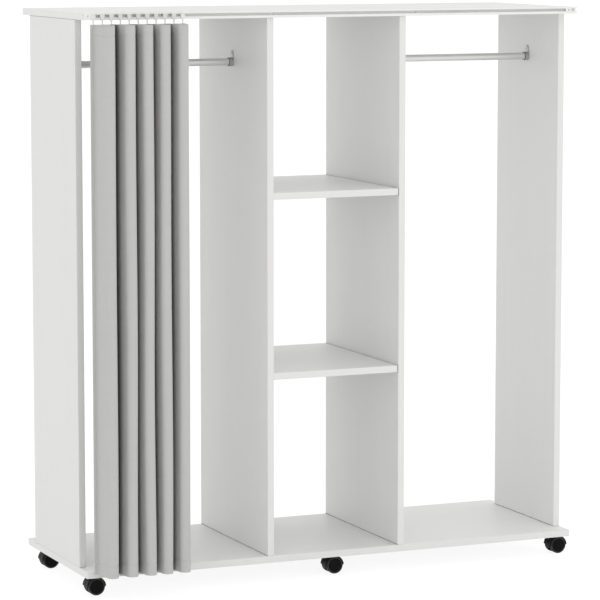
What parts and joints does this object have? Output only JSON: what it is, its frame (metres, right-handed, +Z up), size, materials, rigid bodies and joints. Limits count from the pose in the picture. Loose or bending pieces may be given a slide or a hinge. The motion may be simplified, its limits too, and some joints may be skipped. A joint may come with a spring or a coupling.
{
  "type": "rolling wardrobe",
  "caption": "Open white board wardrobe on swivel casters, with hanging rails in the outer bays, shelves between and a grey curtain on a front track.",
  "frame": {"origin": "on the floor under the middle of the whole object, curtain folds included", "axes": "+X along the width, away from the curtain; +Y from the curtain side to the back; +Z up"},
  "size_m": [1.1805, 0.4708, 1.255],
  "materials": {
    "white_board": "white wood-grain melamine, satin",
    "rail_metal": "satin chrome tube",
    "bracket_metal": "satin nickel",
    "white_plastic": "satin moulded",
    "curtain_cloth": "plain woven grey",
    "tape_cloth": "white gathering tape",
    "dowel_wood": "plain beech",
    "zinc_steel": "bright zinc",
    "black_plastic": "semi-gloss moulded"
  },
  "bodies": {
    "cabinet": {"top_board": "white_board", "base_board": "white_board", "side_panel_left": "white_board", "divider_left": "white_board", "divider_right": "white_board", "side_panel_right": "white_board", "shelf_lower": "white_board", "shelf_upper": "white_board", "hanging_rail_left": "rail_metal", "hanging_rail_right": "rail_metal", "rail_brackets_left": "bracket_metal", "rail_brackets_right": "bracket_metal", "curtain_track": "white_plastic", "track_end_stops": "white_plastic", "glider_01": "white_plastic", "curtain": "curtain_cloth", "heading_tape": "tape_cloth", "caster_plates": "zinc_steel", "dowels": "dowel_wood", "assembly_screws": "zinc_steel", "screw_caps": "white_plastic", "shelf_cams": "zinc_steel", "cam_bolts": "zinc_steel", "bracket_screws": "zinc_steel", "caster_screws": "zinc_steel", "track_screws": "zinc_steel"},
    "glider_02": {"glider_02": "white_plastic"},
    "glider_03": {"glider_03": "white_plastic"},
    "glider_04": {"glider_04": "white_plastic"},
    "glider_05": {"glider_05": "white_plastic"},
    "glider_06": {"glider_06": "white_plastic"},
    "glider_07": {"glider_07": "white_plastic"},
    "glider_08": {"glider_08": "white_plastic"},
    "glider_09": {"glider_09": "white_plastic"},
    "glider_10": {"glider_10": "white_plastic"},
    "glider_11": {"glider_11": "white_plastic"},
    "caster_front_left": {"caster_hood_front_left": "black_plastic", "caster_axle_front_left": "zinc_steel"},
    "wheel_front_left_near": {"wheel_front_left_near": "black_plastic"},
    "wheel_front_left_far": {"wheel_front_left_far": "black_plastic"},
    "caster_front_middle": {"caster_hood_front_middle": "black_plastic", "caster_axle_front_middle": "zinc_steel"},
    "wheel_front_middle_near": {"wheel_front_middle_near": "black_plastic"},
    "wheel_front_middle_far": {"wheel_front_middle_far": "black_plastic"},
    "caster_front_right": {"caster_hood_front_right": "black_plastic", "caster_axle_front_right": "zinc_steel"},
    "wheel_front_right_near": {"wheel_front_right_near": "black_plastic"},
    "wheel_front_right_far": {"wheel_front_right_far": "black_plastic"},
    "caster_rear_left": {"caster_hood_rear_left": "black_plastic", "caster_axle_rear_left": "zinc_steel"},
    "wheel_rear_left_near": {"wheel_rear_left_near": "black_plastic"},
    "wheel_rear_left_far": {"wheel_rear_left_far": "black_plastic"},
    "caster_rear_middle": {"caster_hood_rear_middle": "black_plastic", "caster_axle_rear_middle": "zinc_steel"},
    "wheel_rear_middle_near": {"wheel_rear_middle_near": "black_plastic"},
    "wheel_rear_middle_far": {"wheel_rear_middle_far": "black_plastic"},
    "caster_rear_right": {"caster_hood_rear_right": "black_plastic", "caster_axle_rear_right": "zinc_steel"},
    "wheel_rear_right_near": {"wheel_rear_right_near": "black_plastic"},
    "wheel_rear_right_far": {"wheel_rear_right_far": "black_plastic"}
  },
  "joints": [
    {"name": "curtain_draw", "type": "slide", "parent": "cabinet", "child": "glider_11", "axis": [1, 0, 0], "range_m": [0, 0.3], "deforming": ["curtain", "heading_tape"]},
    {"name": "glider_02_slide", "type": "slide", "parent": "cabinet", "child": "glider_02", "axis": [1, 0, 0], "range_m": [0, 0.0089]},
    {"name": "glider_03_slide", "type": "slide", "parent": "cabinet", "child": "glider_03", "axis": [1, 0, 0], "range_m": [0, 0.0317]},
    {"name": "glider_04_slide", "type": "slide", "parent": "cabinet", "child": "glider_04", "axis": [1, 0, 0], "range_m": [0, 0.0653]},
    {"name": "glider_05_slide", "type": "slide", "parent": "cabinet", "child": "glider_05", "axis": [1, 0, 0], "range_m": [0, 0.1061]},
    {"name": "glider_06_slide", "type": "slide", "parent": "cabinet", "child": "glider_06", "axis": [1, 0, 0], "range_m": [0, 0.1505]},
    {"name": "glider_07_slide", "type": "slide", "parent": "cabinet", "child": "glider_07", "axis": [1, 0, 0], "range_m": [0, 0.1949]},
    {"name": "glider_08_slide", "type": "slide", "parent": "cabinet", "child": "glider_08", "axis": [1, 0, 0], "range_m": [0, 0.2357]},
    {"name": "glider_09_slide", "type": "slide", "parent": "cabinet", "child": "glider_09", "axis": [1, 0, 0], "range_m": [0, 0.2693]},
    {"name": "glider_10_slide", "type": "slide", "parent": "cabinet", "child": "glider_10", "axis": [1, 0, 0], "range_m": [0, 0.2921]},
    {"name": "caster_front_left_swivel", "type": "hinge", "parent": "cabinet", "child": "caster_front_left", "pos_m": [-0.563, -0.11655, 0.043], "axis": [0, 0, 1], "continuous": true},
    {"name": "wheel_front_left_near_turn", "type": "hinge", "parent": "caster_front_left", "child": "wheel_front_left_near", "pos_m": [-0.552, -0.11655, 0.019], "axis": [0, 1, 0], "continuous": true},
    {"name": "wheel_front_left_far_turn", "type": "hinge", "parent": "caster_front_left", "child": "wheel_front_left_far", "pos_m": [-0.552, -0.11655, 0.019], "axis": [0, 1, 0], "continuous": true},
    {"name": "caster_front_middle_swivel", "type": "hinge", "parent": "cabinet", "child": "caster_front_middle", "pos_m": [0, -0.11655, 0.043], "axis": [0, 0, 1], "continuous": true},
    {"name": "wheel_front_middle_near_turn", "type": "hinge", "parent": "caster_front_middle", "child": "wheel_front_middle_near", "pos_m": [0.011, -0.11655, 0.019], "axis": [0, 1, 0], "continuous": true},
    {"name": "wheel_front_middle_far_turn", "type": "hinge", "parent": "caster_front_middle", "child": "wheel_front_middle_far", "pos_m": [0.011, -0.11655, 0.019], "axis": [0, 1, 0], "continuous": true},
    {"name": "caster_front_right_swivel", "type": "hinge", "parent": "cabinet", "child": "caster_front_right", "pos_m": [0.563, -0.11655, 0.043], "axis": [0, 0, 1], "continuous": true},
    {"name": "wheel_front_right_near_turn", "type": "hinge", "parent": "caster_front_right", "child": "wheel_front_right_near", "pos_m": [0.574, -0.11655, 0.019], "axis": [0, 1, 0], "continuous": true},
    {"name": "wheel_front_right_far_turn", "type": "hinge", "parent": "caster_front_right", "child": "wheel_front_right_far", "pos_m": [0.574, -0.11655, 0.019], "axis": [0, 1, 0], "continuous": true},
    {"name": "caster_rear_left_swivel", "type": "hinge", "parent": "cabinet", "child": "caster_rear_left", "pos_m": [-0.563, 0.18745, 0.043], "axis": [0, 0, 1], "continuous": true},
    {"name": "wheel_rear_left_near_turn", "type": "hinge", "parent": "caster_rear_left", "child": "wheel_rear_left_near", "pos_m": [-0.552, 0.18745, 0.019], "axis": [0, 1, 0], "continuous": true},
    {"name": "wheel_rear_left_far_turn", "type": "hinge", "parent": "caster_rear_left", "child": "wheel_rear_left_far", "pos_m": [-0.552, 0.18745, 0.019], "axis": [0, 1, 0], "continuous": true},
    {"name": "caster_rear_middle_swivel", "type": "hinge", "parent": "cabinet", "child": "caster_rear_middle", "pos_m": [0, 0.18745, 0.043], "axis": [0, 0, 1], "continuous": true},
    {"name": "wheel_rear_middle_near_turn", "type": "hinge", "parent": "caster_rear_middle", "child": "wheel_rear_middle_near", "pos_m": [0.011, 0.18745, 0.019], "axis": [0, 1, 0], "continuous": true},
    {"name": "wheel_rear_middle_far_turn", "type": "hinge", "parent": "caster_rear_middle", "child": "wheel_rear_middle_far", "pos_m": [0.011, 0.18745, 0.019], "axis": [0, 1, 0], "continuous": true},
    {"name": "caster_rear_right_swivel", "type": "hinge", "parent": "cabinet", "child": "caster_rear_right", "pos_m": [0.563, 0.18745, 0.043], "axis": [0, 0, 1], "continuous": true},
    {"name": "wheel_rear_right_near_turn", "type": "hinge", "parent": "caster_rear_right", "child": "wheel_rear_right_near", "pos_m": [0.574, 0.18745, 0.019], "axis": [0, 1, 0], "continuous": true},
    {"name": "wheel_rear_right_far_turn", "type": "hinge", "parent": "caster_rear_right", "child": "wheel_rear_right_far", "pos_m": [0.574, 0.18745, 0.019], "axis": [0, 1, 0], "continuous": true}
  ],
  "couplings": [
    {"joint": "glider_02_slide", "follows": "curtain_draw", "ratio": 0.028},
    {"joint": "glider_03_slide", "follows": "curtain_draw", "ratio": 0.104},
    {"joint": "glider_04_slide", "follows": "curtain_draw", "ratio": 0.216},
    {"joint": "glider_05_slide", "follows": "curtain_draw", "ratio": 0.352},
    {"joint": "glider_06_slide", "follows": "curtain_draw", "ratio": 0.5},
    {"joint": "glider_07_slide", "follows": "curtain_draw", "ratio": 0.648},
    {"joint": "glider_08_slide", "follows": "curtain_draw", "ratio": 0.784},
    {"joint": "glider_09_slide", "follows": "curtain_draw", "ratio": 0.896},
    {"joint": "glider_10_slide", "follows": "curtain_draw", "ratio": 0.972}
  ]
}
